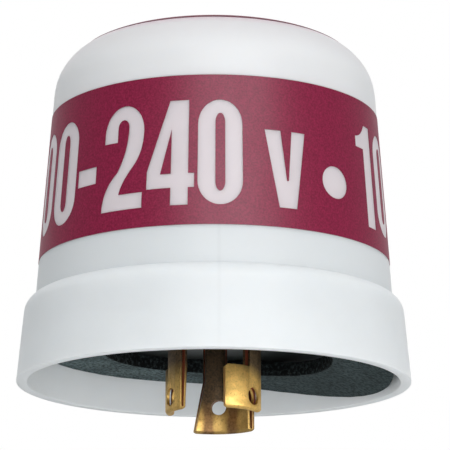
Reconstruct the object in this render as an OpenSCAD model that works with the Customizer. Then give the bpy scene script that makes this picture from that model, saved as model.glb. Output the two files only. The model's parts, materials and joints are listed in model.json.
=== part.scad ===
// Twist-lock photocell switch: a translucent cover with a printed band, closed from below by a black base
// that carries a foam gasket and three folded brass blades. The electronics stand on the base, inside.
// Millimetres. The origin is the middle of the plane of the rim, and +Z points up to the crown.

/* [Cover] */
// Outside diameter of the cover, just above its rounded rim
rim_d = 83; // [79:0.5:88]
// Wall of the skirt
skirt_wall = 2.3; // [2:0.1:2.6]
// Height at which the skirt starts to round over into the shoulder
skirt_h = 14.8; // [13.5:0.1:17]
// Draft of the skirt's wall, in degrees
skirt_draft = 5; // [3:0.1:6]
// Radius of the rounding on both edges of the rim
rim_round = 0.4; // [0.3:0.05:0.9]
// Outside radius of the rounded shoulder
shoulder_r = 3.5; // [3:0.1:4.5]
// How far the body stands in from the top of the skirt
shoulder_step = 2.15; // [1.6:0.05:2.6]
// Height of the inner ledge below the start of the shoulder
ledge_drop = 0.8; // [0.4:0.1:1.2]
// Draft of the body's wall, in degrees
body_draft = 4; // [2:0.1:5]
// Wall of the body and the dome
body_wall = 2; // [1.6:0.1:2.3]
// Height from the rim to the middle of the crown
cover_h = 74.2; // [70:0.1:82]
// Radius between the body and the crown
dome_r = 11.5; // [9:0.1:14]
// Slope of the crown where it meets that radius, in degrees
crown_slope = 4; // [2:0.5:7]
// Number of snap beads that hold the base up in the skirt
bead_count = 6; // [3:1:8]
// Length of a snap bead round the skirt, in degrees
bead_span = 14; // [8:1:24]
// How far a snap bead stands out from the skirt's inner wall
bead_depth = 0.9; // [0.7:0.05:1.1]
// Height of a snap bead
bead_h = 1.6; // [1.2:0.1:2]
// Width of the rib that keys the base to the cover
key_w = 3; // [2:0.1:5]
// How far that rib stands in from the skirt's inner wall
key_depth = 1.3; // [0.9:0.1:1.6]

/* [Print] */
// Thickness of the print
ink_t = 0.1; // [0.08:0.01:0.2]
// Height of the printed band
band_h = 31.7; // [24:0.1:34]
// Distance from the band's upper edge up to where the body rounds into the dome
band_gap = 5.4; // [3:0.1:8]
// Diameter of the printed disc on the crown
top_print_d = 57.6; // [54:0.2:60]

/* [Base] */
// Thickness of the base
base_t = 4; // [3.6:0.1:5]
// Height of the collar that centres the base in the body
collar_h = 3; // [2:0.1:5]
// Wall of that collar
collar_wall = 2; // [1.5:0.1:3]
// Height of the posts under the circuit board
post_h = 10; // [7:0.1:13]
// Diameter of the posts
post_d = 7; // [6:0.1:8]
// Number of posts
post_count = 3; // [3:1:3]
// Distance of the posts in from the edge of the circuit board
post_inset = 3.9; // [3.6:0.1:4.2]
// Direction of the first post, in degrees
post_turn = 62; // [60:1:64]

/* [Gasket] */
// Thickness of the foam ring
gasket_t = 2.9; // [2:0.1:3.5]
// Diameter of the hole in the foam ring
gasket_hole_d = 48; // [44:0.5:56]
// Direction in which the foam sags away from the base, in degrees
sag_turn = 19; // [0:1:60]
// Distance from the axis at which it starts to sag
sag_start = 4.5; // [3:0.5:8]
// Radius of the sagging foam's lower face
sag_r = 91; // [85:1:120]
// How far the foam ring has slipped off the axis, towards the side that sags
gasket_slip = 0.8; // [0:0.1:1]

/* [Blades] */
// Diameter of the circle that the blades' outer faces lie on
blade_circle_d = 20.4; // [19:0.1:21]
// Thickness of the brass sheet
sheet_t = 0.55; // [0.45:0.05:0.65]
// Gap between the two leaves of a blade where they leave the base
leaf_gap = 0.9; // [0.7:0.05:1]
// Gap between the two leaves at the fold that joins them
fold_gap = 0.45; // [0.3:0.05:0.6]
// Direction of the line blade's straight edge, in degrees
line_edge = -14.5; // [-16:0.5:-13]
// Direction of the load blade's straight edge, in degrees
load_edge = -133; // [-135:0.5:-131]
// Direction of the neutral blade's straight edge, in degrees
neutral_edge = 103.5; // [102:0.5:105]
// Length of the line and load blades below the base
live_reach = 16.3; // [15:0.1:18]
// Length of the neutral blade below the base
neutral_reach = 19; // [17:0.1:20]
// Width of the line and load blades where they leave the base, in degrees
live_root = 28; // [26:1:32]
// Width of the neutral blade where it leaves the base, in degrees
neutral_root = 30; // [28:1:36]
// Width of the line and load blades over the hook, in degrees
live_span = 62; // [54:1:70]
// Width of the neutral blade over the hook, in degrees
neutral_span = 71; // [66:1:80]
// Distance from the base down to the upper edge of the hooks
hook_drop = 7.2; // [6:0.1:8.5]
// How far the neutral blade's straight edge slants outward at its tip
neutral_flare = 2.2; // [0.5:0.1:2.4]
// Radius of the hooks' corners
hook_round = 0.9; // [0.4:0.05:1.2]
// Diameter of the hole through the line and load blades
live_hole_d = 3.7; // [3.2:0.1:4]
// Diameter of the hole through the neutral blade
neutral_hole_d = 3.2; // [2.8:0.1:3.6]
// Distance from the base down to those holes
blade_hole_drop = 13.35; // [12:0.05:13.8]
// Direction of those holes from a blade's straight edge, in degrees
blade_hole_turn = 20.6; // [18:0.2:24]
// Length of a blade's foot, outward over the base
foot_l = 7; // [6.4:0.1:8]
// Width of the tail that runs up from a blade to the circuit board, in degrees
tail_span = 20; // [12:1:24]
// How far a tail stands out above the circuit board
tail_proud = 1.2; // [0.6:0.1:2]

/* [Screws] */
// Diameter of a screw's shank
screw_d = 2.6; // [2.2:0.1:2.9]
// Diameter of a screw's head
screw_head_d = 5; // [4.4:0.1:5.4]
// Height of a screw's head
screw_head_h = 1.8; // [1.4:0.1:2.2]
// Width of the slot in a screw's head
screw_slot_w = 0.8; // [0.5:0.1:1.2]
// Depth of that slot
screw_slot_depth = 0.9; // [0.5:0.1:1.2]
// How far a blade's screw goes into the base
blade_screw_l = 3; // [2:0.1:3.2]
// How far a board's screw goes into its post
board_screw_l = 7; // [4:0.1:9]

/* [Circuit board] */
// Gap between the edge of the circuit board and the cover
board_gap = 2.6; // [1.5:0.1:4]
// Thickness of the circuit board
board_t = 1.6; // [1:0.1:2]
// How far the components' leads stand out below the circuit board
lead_proud = 1.2; // [0.6:0.1:2]
// Diameter of the thick leads
lead_d = 0.8; // [0.6:0.05:1]
// Diameter of the thin leads
thin_lead_d = 0.5; // [0.4:0.05:0.6]

/* [Relay] */
// Size of the relay outward from the axis
relay_l = 15.4; // [13:0.1:17]
// Width of the relay
relay_w = 19.2; // [16:0.1:20]
// Height of the relay
relay_h = 15.6; // [12:0.1:26]
// Chamfer on the relay's upright edges
relay_chamfer = 1; // [0.5:0.1:2]
// Distance between the relay's pins outward from the axis
relay_pin_l = 12; // [10:0.1:12.6]
// Distance between the relay's pins across it
relay_pin_w = 14; // [8:0.1:15]

/* [Surge arrester] */
// Diameter of the coated disc
arrester_d = 20; // [14:0.1:22]
// Thickness of the coated disc
arrester_t = 5; // [4:0.1:7]
// Chamfer on the disc's edges
arrester_chamfer = 1.2; // [0.6:0.1:1.8]
// Distance between its leads
arrester_pitch = 7.5; // [5:0.1:10]

/* [Capacitors] */
// Width of the dropper capacitor
film_w = 8; // [6:0.1:10]
// Length of the dropper capacitor
film_l = 18; // [14:0.1:19]
// Height of the dropper capacitor
film_h = 15; // [11:0.1:20]
// Distance between its leads
film_pitch = 15; // [10:0.1:15.5]
// Chamfer on its upright edges
film_chamfer = 0.8; // [0.4:0.1:1.5]
// Diameter of the smoothing capacitor's can
can_d = 10; // [8:0.1:11]
// Height of the can
can_h = 17; // [11:0.1:24]
// Depth of the can's crimp
can_crimp = 0.5; // [0.2:0.05:0.8]
// Distance between its leads
can_pitch = 5; // [3.5:0.1:6]

/* [Resistors and diodes] */
// Diameter of the dropper resistor
dropper_d = 4; // [3:0.1:4.6]
// Length of the dropper resistor
dropper_l = 11; // [8:0.1:12]
// Distance between the dropper resistor's leads
dropper_pitch = 15; // [13:0.1:15.6]
// Diameter of the bleed resistor
bleed_d = 2.5; // [2:0.1:2.8]
// Length of the bleed resistor
bleed_l = 6.5; // [5:0.1:7]
// Distance between the bleed resistor's leads
bleed_pitch = 10; // [8.5:0.1:11]
// Diameter of a diode
diode_d = 2.7; // [2:0.1:3]
// Length of a diode
diode_l = 5.2; // [4:0.1:6]
// Distance between a diode's leads
diode_pitch = 8.4; // [8:0.1:9]
// Number of rectifier diodes
diode_count = 4; // [4:1:4]
// Distance between neighbouring rectifier diodes
diode_step = 3.8; // [3.6:0.1:4]

/* [Transistor] */
// Diameter of the transistor
transistor_d = 4.8; // [4:0.1:5]
// Height of the transistor's body
transistor_h = 4.8; // [4:0.1:6]
// Distance from the transistor's axis to its flat face
transistor_flat = 1.3; // [1:0.1:1.6]
// Distance between its leads
transistor_pitch = 1.27; // [1.1:0.01:1.5]
// Height of its body above the circuit board
transistor_lift = 3; // [1:0.1:5]

/* [Photocell] */
// Diameter of the light-sensitive cell
cell_d = 12; // [9:0.1:13]
// Thickness of the cell
cell_t = 3.2; // [2:0.1:4]
// Distance between the cell's leads
cell_pitch = 7; // [5:0.1:7.4]
// Height of the cover's inner crown above the cup that holds the cell
cup_headroom = 2.1; // [1.5:0.1:4]
// Wall of the cup that holds the cell
cup_wall = 1.5; // [1:0.1:1.8]
// Floor of that cup
cup_floor = 1.6; // [1:0.1:2]
// Thickness of the holder's column
column_t = 2; // [1.5:0.1:2.4]
// Width of the holder's column
column_w = 5; // [3:0.1:5]
// Length of the holder's foot, outward from the axis
holder_foot_l = 8; // [6:0.1:8.5]
// Width of the holder's foot
holder_foot_w = 14; // [13:0.1:14.6]
// Thickness of the holder's foot
holder_foot_t = 1.8; // [1:0.1:3]
// Diameter of the holder's two pegs
peg_d = 2; // [1.5:0.1:2.5]
// Distance between the pegs
peg_pitch = 10.6; // [10:0.1:10.8]

/* [Layout on the circuit board] */
// Direction of the relay, in degrees
relay_turn = 20; // [18:0.5:22]
// Distance of the middle of the relay in from the board's edge
relay_inset = 12.9; // [12.5:0.1:13.4]
// Direction of the surge arrester, in degrees
arrester_turn = 95; // [92:0.5:97]
// Distance of the middle of the surge arrester in from the board's edge
arrester_inset = 11; // [10:0.1:12]
// Direction of the dropper capacitor, in degrees
film_turn = 198; // [197:0.5:200]
// Distance of the middle of the dropper capacitor in from the board's edge
film_inset = 12; // [11.5:0.1:12.5]
// Direction of the smoothing capacitor, in degrees
can_turn = 244; // [242:0.5:246]
// Distance of the middle of the smoothing capacitor in from the board's edge
can_inset = 9; // [8:0.1:10]
// Direction of the dropper resistor, in degrees
dropper_turn = 322; // [320:0.5:324]
// Distance of the middle of the dropper resistor in from the board's edge
dropper_inset = 11; // [10:0.1:11.5]
// Direction of the bleed resistor, in degrees
bleed_turn = 203; // [202:0.5:206]
// Distance of the middle of the bleed resistor in from the board's edge
bleed_inset = 4.9; // [4.4:0.1:5.2]
// Distance of the middle of the rectifier diodes in from the board's edge
diode_inset = 13.5; // [13:0.1:14]
// Direction of the zener diode, in degrees
zener_turn = 336; // [334:0.5:337]
// Distance of the middle of the zener diode in from the board's edge
zener_inset = 9.5; // [8:0.1:10]
// Direction of the transistor, in degrees
transistor_turn = 125; // [123:0.5:127]
// Distance of the middle of the transistor in from the board's edge
transistor_inset = 18; // [17.6:0.1:19]
// Direction of the photocell's holder, in degrees
holder_turn = 146; // [145:0.5:147]
// Distance of the middle of the photocell's holder in from the board's edge
holder_inset = 11.5; // [11:0.1:12.5]

/* [Clearances] */
// Gap between the printed band and the cover
ink_clear = 0.01; // [0.005:0.005:0.02]
// Gap round the base, in the skirt and in the body
base_clear = 0.2; // [0.1:0.05:0.3]
// Gap between the foam ring and the snap beads
gasket_clear = 0.25; // [0.1:0.05:0.5]
// Gap on each side of a blade in its slots
slot_clear = 0.2; // [0.1:0.05:0.3]
// Gap on each side of the rib that keys the base
key_clear = 0.25; // [0.1:0.05:0.5]
// Gap round a screw's shank in its pilot hole
pilot_clear = 0.05; // [0.02:0.01:0.1]
// Gap round a screw's shank in the piece that it holds down
screw_clear = 0.2; // [0.1:0.05:0.3]
// Gap round a lead or a peg in its hole
lead_clear = 0.1; // [0.05:0.05:0.2]
// Height of the resistors, the diodes and the disc above the circuit board
body_lift = 0.3; // [0.1:0.1:1]
// Gap round the cell in its cup
cell_clear = 0.1; // [0.05:0.05:0.2]

/* [Hidden] */

$fn = 96;
// Steps in a quarter of a small arc and in the long arcs of the dome
arc_steps = 6;
dome_steps = 16;
// Cutters run past the faces that they cut by this much
over = 1;

// Skirt: its wall leans in by its draft, from the level of the rim's rounding
rim_r = rim_d / 2;
skirt_normal = [cos(skirt_draft), sin(skirt_draft)];
rim_outer_c = [rim_r - rim_round * cos(skirt_draft), rim_round];
rim_inner_c = [rim_r - skirt_wall + rim_round * cos(skirt_draft), rim_round];
function skirt_outer_r(z) = rim_r - (z - rim_round) * tan(skirt_draft);
function skirt_inner_r(z) = skirt_outer_r(z) - skirt_wall;

// Shoulder: an arc that is tangent to the skirt and ends where it meets the body
shoulder_c = [skirt_outer_r(skirt_h), skirt_h] - shoulder_r * skirt_normal;
body_foot_r = skirt_outer_r(skirt_h) - shoulder_step;
body_normal = [cos(body_draft), sin(body_draft)];
shoulder_to_body = ([body_foot_r, skirt_h] - shoulder_c) * body_normal;
shoulder_end = body_draft + acos(shoulder_to_body / shoulder_r);
function body_outer_r(z) = body_foot_r - (z - skirt_h) * tan(body_draft);
function body_inner_r(z) = body_outer_r(z) - body_wall / cos(body_draft);

// Dome: its arc is tangent to the body and to the crown, whose own arc is centred on the axis
dome_base_r = body_foot_r - (dome_r * sin(body_draft) - skirt_h) * tan(body_draft) - dome_r * cos(body_draft);
dome_rise = dome_r * cos(crown_slope) + (dome_base_r + dome_r * sin(crown_slope)) * tan(crown_slope / 2);
dome_z = (cover_h - dome_rise) / (1 - tan(body_draft) * tan(crown_slope / 2));
dome_c = [dome_base_r - dome_z * tan(body_draft), dome_z];
crown_r = dome_r + dome_c.x / sin(crown_slope);
crown_c = [0, cover_h - crown_r];
body_top = dome_z + dome_r * sin(body_draft);

// Levels, from the cover's inner ledge down
ledge_z = skirt_h - ledge_drop;
base_z = ledge_z - base_t;
gasket_z = base_z - gasket_t;

// Base and gasket
base_r = skirt_inner_r(ledge_z) - base_clear;
collar_r = body_inner_r(ledge_z + collar_h) - base_clear;
bead_r = skirt_inner_r(base_z) - bead_depth;
gasket_r = bead_r - gasket_clear;
key_r = skirt_inner_r(ledge_z) - key_depth;
// Ribs, beads and posts run this far into the wall that they stand on
rooted = 0.5;

// Print
band_top = body_top - band_gap;
band_foot = band_top - band_h;

// Blades: the two leaves, and the tighter fold that joins them at the tip
blade_r = blade_circle_d / 2;
blade_t = 2 * sheet_t + leaf_gap;
fold_t = 2 * sheet_t + fold_gap;
inner_leaf_r = blade_r - blade_t;
inner_fold_r = blade_r - fold_t;
hook_z = base_z - hook_drop;
// The slant starts below the level where the inner leaf stops leaning
slant_z = hook_z - sheet_t;
foot_top = ledge_z + sheet_t;
// A rounded corner's centre lies this share of its radius in from both edges
corner_reach = 0.97;
foot_screw_r = blade_r + foot_l / 2;

// Circuit board
board_z = ledge_z + post_h;
board_top = board_z + board_t;
board_r = body_inner_r(board_top) - board_gap;
post_r = board_r - post_inset;
tail_top = board_top + tail_proud;

// Where each component stands on the board: its direction and its distance from the axis
relay_spot = [relay_turn, board_r - relay_inset];
arrester_spot = [arrester_turn, board_r - arrester_inset];
film_spot = [film_turn, board_r - film_inset];
can_spot = [can_turn, board_r - can_inset];
dropper_spot = [dropper_turn, board_r - dropper_inset];
bleed_spot = [bleed_turn, board_r - bleed_inset];
// The row of rectifier diodes stands midway between the smoothing capacitor and the dropper resistor
diode_row_w = (diode_count - 1) * diode_step + diode_d;
diode_after_can = (diode_row_w + can_d) / 2 / can_spot[1];
diode_to_dropper = (diode_row_w + dropper_d) / 2 / dropper_spot[1];
diode_share = diode_after_can / (diode_after_can + diode_to_dropper);
diode_turn = can_turn + (dropper_turn - can_turn) * diode_share;
diode_spot = [diode_turn, board_r - diode_inset];
zener_spot = [zener_turn, board_r - zener_inset];
transistor_spot = [transistor_turn, board_r - transistor_inset];
holder_spot = [holder_turn, board_r - holder_inset];

// Leads of each component, outward from and across its own spot
relay_leads = [for (u = [-1, 1]) for (v = [-1, 1]) [u * relay_pin_l / 2, v * relay_pin_w / 2]];
arrester_leads = across_leads(arrester_pitch);
film_leads = across_leads(film_pitch);
can_leads = across_leads(can_pitch);
bleed_leads = across_leads(bleed_pitch);
dropper_leads = axial_leads(dropper_pitch);
zener_leads = axial_leads(diode_pitch);
diode_row = [for (i = [0 : diode_count - 1]) (i - (diode_count - 1) / 2) * diode_step];
diode_leads = [for (v = diode_row) for (u = [-1, 1]) [u * diode_pitch / 2, v]];
transistor_leads = [for (i = [-1 : 1]) [0, i * transistor_pitch]];
pegs = across_leads(peg_pitch);

// Photocell: up under the dome, in a cup on the outer face of its column
cup_r = cell_d / 2 + cell_clear + cup_wall;
cell_z = dome_z + dome_r - body_wall - cup_headroom - cup_r - board_top;
cup_face = column_t / 2;
cell_back = cup_face + cup_floor;
cell_lead_u = -column_t / 2 - lead_d;
cell_leads = [for (v = [-1, 1]) [cell_lead_u, v * cell_pitch / 2]];

white = [0.93, 0.94, 0.95];
maroon = [0.47, 0.13, 0.22];
black = [0.05, 0.06, 0.06];
charcoal = [0.27, 0.31, 0.31];
brass = [0.82, 0.67, 0.33];
steel = [0.72, 0.73, 0.74];
board_green = [0.13, 0.36, 0.22];
cell_red = [0.72, 0.36, 0.2];
disc_blue = [0.13, 0.3, 0.6];
film_grey = [0.55, 0.57, 0.6];
can_black = [0.1, 0.1, 0.13];
resistor_tan = [0.78, 0.68, 0.5];

// Points along an arc
function arc(c, r, from, to, steps) =
    [for (i = [0 : steps]) let (a = from + (to - from) * i / steps) c + r * [cos(a), sin(a)]];

// Points up the body and over the dome to the axis, for a face set in from the outside by the given depth
function body_face(depth) = concat(
    arc(dome_c, dome_r - depth, body_draft, 90 - crown_slope, dome_steps),
    arc(crown_c, crown_r - depth, 90 - crown_slope, 90, arc_steps));

function reversed(points) = [for (i = [len(points) - 1 : -1 : 0]) points[i]];

// Stands something on the circuit board at its spot
module on_board(spot) {
    rotate([0, 0, spot[0]])
        translate([spot[1], 0, board_top])
            children();
}

// Leads down through the board from a body that starts at the given height above it
module leads(points, d, height) {
    for (p = points)
        translate([p.x, p.y, -board_t - lead_proud])
            cylinder(d = d, h = board_t + lead_proud + height);
}

// Holes in the board for those leads
module lead_holes(spot, points, d) {
    on_board(spot)
        for (p = points)
            translate([p.x, p.y, -board_t - over])
                cylinder(d = d + 2 * lead_clear, h = board_t + 2 * over);
}

// Rectangle with chamfered corners
module chamfered(l, w, c) {
    polygon([[-l / 2 + c, -w / 2], [l / 2 - c, -w / 2], [l / 2, -w / 2 + c], [l / 2, w / 2 - c],
        [l / 2 - c, w / 2], [-l / 2 + c, w / 2], [-l / 2, w / 2 - c], [-l / 2, -w / 2 + c]]);
}

// Slotted pan-head screw, head down on z = 0, with the given length below it
module screw(length) {
    difference() {
        union() {
            translate([0, 0, -length])
                cylinder(d = screw_d, h = length);
            cylinder(d = screw_head_d, h = screw_head_h);
        }
        translate([-screw_head_d, -screw_slot_w / 2, screw_head_h - screw_slot_depth])
            cube([2 * screw_head_d, screw_slot_w, screw_head_h]);
    }
}

// Body that lies along its two bent leads, such as a resistor or a diode
module axial(d, length, pitch, wire_d) {
    height = body_lift + d / 2;
    translate([-length / 2, 0, height])
        rotate([0, 90, 0])
            cylinder(d = d, h = length);
    translate([-pitch / 2, 0, height])
        rotate([0, 90, 0])
            cylinder(d = wire_d, h = pitch);
    for (u = [-1, 1])
        translate([u * pitch / 2, 0, height])
            sphere(d = wire_d);
    leads(axial_leads(pitch), wire_d, height);
}

function axial_leads(pitch) = [for (u = [-1, 1]) [u * pitch / 2, 0]];
function across_leads(pitch) = [for (v = [-1, 1]) [0, v * pitch / 2]];

// Sheet bent to part of a ring: a section turned about the axis between two directions
module ring_sector(from, to) {
    rotate([0, 0, from])
        rotate_extrude(angle = to - from)
            children();
}

// Section of a blade's folded sheet: a fold at the tip, the outer leaf with the foot bent out of it, and the
// inner leaf, which leans away from the fold up to the level of the hook and has the tail above it
module blade_section(tip_z) {
    fold_z = tip_z + fold_t / 2;
    translate([blade_r - fold_t / 2, fold_z])
        difference() {
            circle(d = fold_t);
            circle(d = fold_gap);
            translate([-fold_t, 0])
                square([2 * fold_t, fold_t]);
        }
    translate([blade_r - sheet_t, fold_z])
        square([sheet_t, foot_top - fold_z]);
    translate([blade_r - sheet_t, ledge_z])
        square([sheet_t + foot_l, sheet_t]);
    polygon([[inner_fold_r, fold_z], [inner_fold_r + sheet_t, fold_z], [inner_leaf_r + sheet_t, hook_z],
        [inner_leaf_r + sheet_t, tail_top], [inner_leaf_r, tail_top], [inner_leaf_r, hook_z]]);
}

// Cuts across a blade out to a radius, as seen from outside it: x runs round it and y runs up
module across_blade(direction, to_r = blade_r + over) {
    rotate([0, 0, direction])
        translate([inner_leaf_r - over, 0, 0])
            rotate([90, 0, 90])
                linear_extrude(to_r - inner_leaf_r + over)
                    children();
}

// What is cut from a corner to round it: the metal lies on the side given by two signs
module corner_waste(side_x, side_y) {
    c = hook_round * corner_reach;
    difference() {
        polygon([[-side_x * over, -side_y * over], [side_x * c, -side_y * over],
            [side_x * c, side_y * c], [-side_x * over, side_y * c]]);
        translate([side_x * c, side_y * c])
            circle(r = hook_round);
    }
}

// What is cut from a blade between two directions, above a level and out to a radius
module blade_waste(from, to, from_z, to_r) {
    ring_sector(from, to)
        translate([inner_leaf_r - over, from_z])
            square([to_r - inner_leaf_r + over, tail_top + over - from_z]);
}

// One blade, turned from its section and cut to its outline: a root that stands in the base, a hook beside it
// below the base, and a foot and a tail above it
module blade(edge, root, span, reach, flare, hole_d) {
    tip_z = base_z - reach;
    flare_angle = 2 * asin(flare / 2 / blade_r);
    middle = edge - root / 2;
    foot_r = blade_r + foot_l + over;
    tail_r = inner_leaf_r + sheet_t + leaf_gap / 2;
    difference() {
        ring_sector(edge - span, edge + (flare > 0 ? flare_angle + over : 0))
            blade_section(tip_z);
        blade_waste(edge - span - over, edge - root, hook_z, foot_r);
        blade_waste(edge - root - over, middle - tail_span / 2, foot_top, tail_r);
        blade_waste(middle + tail_span / 2, edge + over, foot_top, tail_r);
        if (flare > 0)
            across_blade(edge + flare_angle / 2, foot_r)
                polygon([[-flare / 2, tail_top + over], [-flare / 2, slant_z],
                    [flare * 3 / 2, 2 * tip_z - slant_z], [3 * flare, 2 * tip_z - slant_z],
                    [3 * flare, tail_top + over]]);
        across_blade(edge - blade_hole_turn)
            translate([0, base_z - blade_hole_drop])
                circle(d = hole_d);
        across_blade(edge - span)
            translate([0, hook_z])
                corner_waste(1, -1);
        across_blade(edge - span)
            translate([0, tip_z])
                corner_waste(1, 1);
        across_blade(edge + flare_angle)
            translate([0, tip_z])
                corner_waste(-1, 1);
        rotate([0, 0, middle])
            translate([foot_screw_r, 0, ledge_z - over])
                cylinder(d = screw_d + 2 * screw_clear, h = sheet_t + 2 * over);
    }
}

// Slot for the leaves, or for the tail alone, with its gap on every side
module blade_slot(from, to, from_r, to_r, from_z, to_z) {
    gap_angle = slot_clear / from_r * 180 / PI;
    ring_sector(from - gap_angle, to + gap_angle)
        translate([from_r - slot_clear, from_z])
            square([to_r - from_r + 2 * slot_clear, to_z - from_z]);
}

module cover() {
    inner_foot = [body_inner_r(ledge_z), ledge_z];
    profile = concat(
        arc(rim_inner_c, rim_round, 180 + skirt_draft, 270, arc_steps),
        arc(rim_outer_c, rim_round, 270, 360 + skirt_draft, arc_steps),
        arc(shoulder_c, shoulder_r, skirt_draft, shoulder_end, arc_steps),
        body_face(0),
        reversed(body_face(body_wall)),
        [inner_foot, [skirt_inner_r(ledge_z), ledge_z]]);
    color(white) {
        rotate_extrude()
            polygon(profile);
        // Snap beads under the edge of the base
        for (i = [0 : bead_count - 1])
            ring_sector(i * 360 / bead_count, i * 360 / bead_count + bead_span)
                polygon([[bead_r, base_z], [skirt_inner_r(base_z) + rooted, base_z],
                    [skirt_inner_r(base_z - bead_h) + rooted, base_z - bead_h],
                    [skirt_inner_r(base_z - bead_h), base_z - bead_h]]);
        // Rib that keys the base
        rotate([0, 0, 180])
            translate([key_r, -key_w / 2, base_z])
                cube([key_depth + rooted, key_w, base_t + rooted]);
    }
}

module printed_band() {
    foot_r = body_outer_r(band_foot) + ink_clear;
    top_r = body_outer_r(band_top) + ink_clear;
    color(maroon)
        rotate_extrude()
            polygon([[foot_r, band_foot], [foot_r + ink_t, band_foot],
                [top_r + ink_t, band_top], [top_r, band_top]]);
}

// Section of the dome, out to a face set in by the given depth
module dome_section(depth) {
    polygon(concat(body_face(depth), [[0, dome_z]]));
}

module printed_top() {
    color(maroon)
        rotate_extrude()
            intersection() {
                difference() {
                    dome_section(-ink_t);
                    dome_section(0);
                }
                translate([0, dome_z])
                    square([top_print_d / 2, cover_h]);
            }
}

module base() {
    color(black)
        difference() {
            union() {
                translate([0, 0, base_z])
                    cylinder(r = base_r, h = base_t);
                translate([0, 0, ledge_z - rooted])
                    difference() {
                        cylinder(r = collar_r, h = collar_h + rooted);
                        translate([0, 0, -over])
                            cylinder(r = collar_r - collar_wall, h = collar_h + rooted + 2 * over);
                    }
                at_posts(ledge_z - rooted)
                    cylinder(d = post_d, h = post_h + rooted);
            }
            root_slot(line_edge - live_root, line_edge);
            root_slot(load_edge - live_root, load_edge);
            root_slot(neutral_edge - neutral_root, neutral_edge);
            at_feet(ledge_z - blade_screw_l)
                cylinder(d = screw_d + 2 * pilot_clear, h = blade_screw_l + over);
            at_posts(board_z - board_screw_l)
                cylinder(d = screw_d + 2 * pilot_clear, h = board_screw_l + over);
            rotate([0, 0, 180])
                translate([key_r - key_clear, -key_w / 2 - key_clear, base_z - over])
                    cube([key_depth + over, key_w + 2 * key_clear, base_t + 2 * over]);
        }
}

module root_slot(from, to) {
    blade_slot(from, to, inner_leaf_r, blade_r, base_z - over, ledge_z + over);
}

// Repeats something at each post
module at_posts(z) {
    for (i = [0 : post_count - 1])
        rotate([0, 0, post_turn + i * 360 / post_count])
            translate([post_r, 0, z])
                children();
}

// Repeats something at the screw of each blade's foot
module at_feet(z) {
    for (middle = [line_edge - live_root / 2, load_edge - live_root / 2, neutral_edge - neutral_root / 2])
        rotate([0, 0, middle])
            translate([foot_screw_r, 0, z])
                children();
}

// Foam ring: flat against the base, then bent down on the side where it has slipped and come away
module gasket() {
    sag_c = [sag_start, gasket_z - sag_r];
    reach = gasket_r + gasket_slip + over;
    sag_end = 90 - asin((reach - sag_start) / sag_r);
    lower = arc(sag_c, sag_r, 90, sag_end, dome_steps);
    upper = arc(sag_c, sag_r + gasket_t, sag_end, 90, dome_steps);
    color(charcoal)
        difference() {
            intersection() {
                rotate([0, 0, sag_turn])
                    translate([0, reach, 0])
                        rotate([90, 0, 0])
                            linear_extrude(2 * reach)
                                polygon(concat([[-reach, gasket_z]], lower, upper, [[-reach, base_z]]));
                slipped(-base_z)
                    cylinder(r = gasket_r, h = 2 * base_z);
            }
            slipped(-base_z - over)
                cylinder(d = gasket_hole_d, h = 2 * (base_z + over));
        }
}

// Puts something on the axis of the slipped foam ring, at the given height
module slipped(z) {
    rotate([0, 0, sag_turn])
        translate([gasket_slip, 0, z])
            children();
}

module line_blade() {
    color(brass)
        blade(line_edge, live_root, live_span, live_reach, 0, live_hole_d);
}

module load_blade() {
    color(brass)
        blade(load_edge, live_root, live_span, live_reach, 0, live_hole_d);
}

module neutral_blade() {
    color(brass)
        blade(neutral_edge, neutral_root, neutral_span, neutral_reach, neutral_flare, neutral_hole_d);
}

module blade_screws() {
    color(steel)
        at_feet(foot_top)
            screw(blade_screw_l + sheet_t);
}

module circuit_board() {
    color(board_green)
        difference() {
            translate([0, 0, board_z])
                cylinder(r = board_r, h = board_t);
            at_posts(board_z - over)
                cylinder(d = screw_d + 2 * screw_clear, h = board_t + 2 * over);
            tail_slot(line_edge - live_root / 2);
            tail_slot(load_edge - live_root / 2);
            tail_slot(neutral_edge - neutral_root / 2);
            lead_holes(relay_spot, relay_leads, lead_d);
            lead_holes(arrester_spot, arrester_leads, lead_d);
            lead_holes(film_spot, film_leads, lead_d);
            lead_holes(can_spot, can_leads, lead_d);
            lead_holes(dropper_spot, dropper_leads, lead_d);
            lead_holes(bleed_spot, bleed_leads, thin_lead_d);
            lead_holes(diode_spot, diode_leads, lead_d);
            lead_holes(zener_spot, zener_leads, lead_d);
            lead_holes(transistor_spot, transistor_leads, thin_lead_d);
            lead_holes(holder_spot, pegs, peg_d);
            lead_holes(holder_spot, cell_leads, lead_d);
        }
}

module tail_slot(middle) {
    blade_slot(middle - tail_span / 2, middle + tail_span / 2, inner_leaf_r, inner_leaf_r + sheet_t,
        board_z - over, board_top + over);
}

module board_screws() {
    color(steel)
        at_posts(board_top)
            screw(board_screw_l + board_t);
}

module relay() {
    color(white)
        on_board(relay_spot) {
            linear_extrude(relay_h)
                chamfered(relay_l, relay_w, relay_chamfer);
            leads(relay_leads, lead_d, relay_chamfer);
        }
}

module surge_arrester() {
    r = arrester_d / 2;
    c = arrester_chamfer;
    color(disc_blue)
        on_board(arrester_spot) {
            translate([0, 0, body_lift + r])
                rotate([0, 90, 0])
                    rotate_extrude()
                        polygon([[0, -arrester_t / 2], [r - c, -arrester_t / 2], [r, -arrester_t / 2 + c],
                            [r, arrester_t / 2 - c], [r - c, arrester_t / 2], [0, arrester_t / 2]]);
            leads(arrester_leads, lead_d, r);
        }
}

module dropper_capacitor() {
    color(film_grey)
        on_board(film_spot) {
            linear_extrude(film_h)
                chamfered(film_w, film_l, film_chamfer);
            leads(film_leads, lead_d, film_chamfer);
        }
}

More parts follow.
